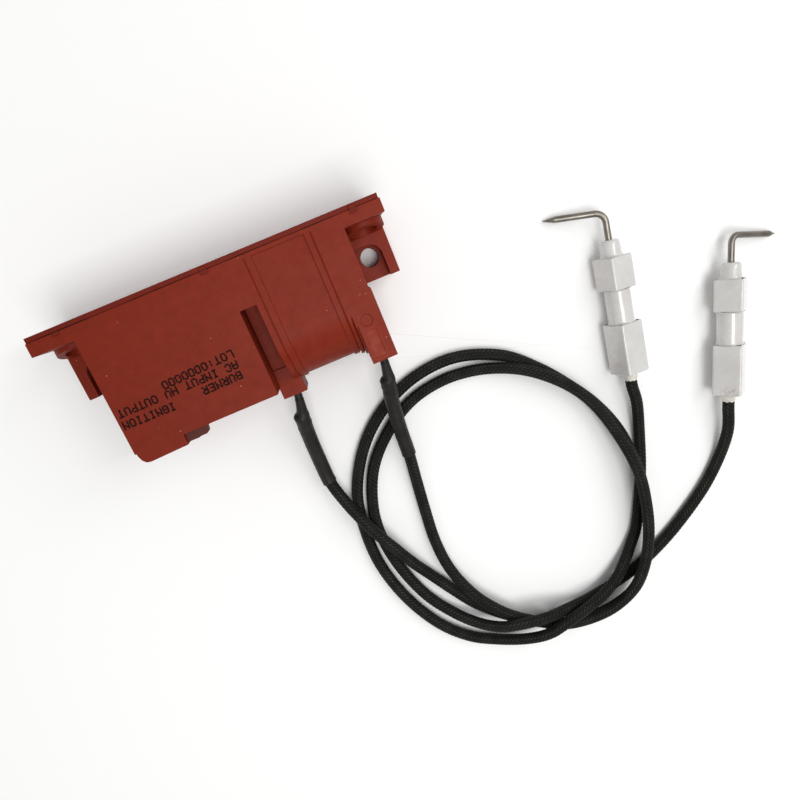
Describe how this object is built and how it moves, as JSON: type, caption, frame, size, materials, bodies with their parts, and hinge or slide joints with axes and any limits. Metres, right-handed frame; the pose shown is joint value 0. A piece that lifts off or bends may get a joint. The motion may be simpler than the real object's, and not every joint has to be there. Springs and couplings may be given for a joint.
{
  "type": "spark igniter with ceramic electrodes",
  "caption": "Potted spark igniter case with mains connector, mounting flange and ears, and braided high-voltage leads that end in ceramic spark electrodes with bent rods.",
  "frame": {"origin": "midway between the two ear holes, on the flat back face of the case that lies on the surface", "axes": "+X along the flange towards the lead towers, +Y towards the cover, +Z from the back face to the front face"},
  "size_m": [0.1861, 0.1392, 0.0263],
  "materials": {
    "housing": "satin moulded polymer",
    "cover": "satin moulded polymer",
    "resin": "cast resin",
    "board": "solder-resist lacquer",
    "capacitor": "dipped film capacitor",
    "resistor": "lacquered",
    "semiconductor": "moulded epoxy",
    "ferrite": "sintered",
    "bobbin": "moulded polymer",
    "copper": "enamelled wire",
    "tinned_brass": "tin plated",
    "wire": "silicone rubber",
    "braid": "coated glass-fibre braid",
    "shrink": "shrunk polyolefin",
    "glue": "cured silicone",
    "ceramic": "glazed alumina",
    "rod": "drawn heat-resistant alloy"
  },
  "bodies": {
    "root": {"housing_shell": "housing", "base_cover": "cover", "potting_resin": "resin", "circuit_board": "board", "storage_capacitor": "capacitor", "charging_resistors": "resistor", "rectifier_diode": "semiconductor", "trigger_device": "semiconductor", "transformer_core": "ferrite", "transformer_bobbin": "bobbin", "primary_winding": "copper", "secondary_winding": "copper", "mains_tab_line": "tinned_brass", "mains_tab_neutral": "tinned_brass", "left_hv_pin": "tinned_brass", "left_hv_wire": "wire", "left_braid_sleeve": "braid", "left_shrink_sleeve": "shrink", "left_glue_neck": "glue", "left_wire_ferrule": "tinned_brass", "left_ceramic_body": "ceramic", "left_electrode_rod": "rod", "right_hv_pin": "tinned_brass", "right_hv_wire": "wire", "right_braid_sleeve": "braid", "right_shrink_sleeve": "shrink", "right_glue_neck": "glue", "right_wire_ferrule": "tinned_brass", "right_ceramic_body": "ceramic", "right_electrode_rod": "rod"}
  },
  "joints": []
}
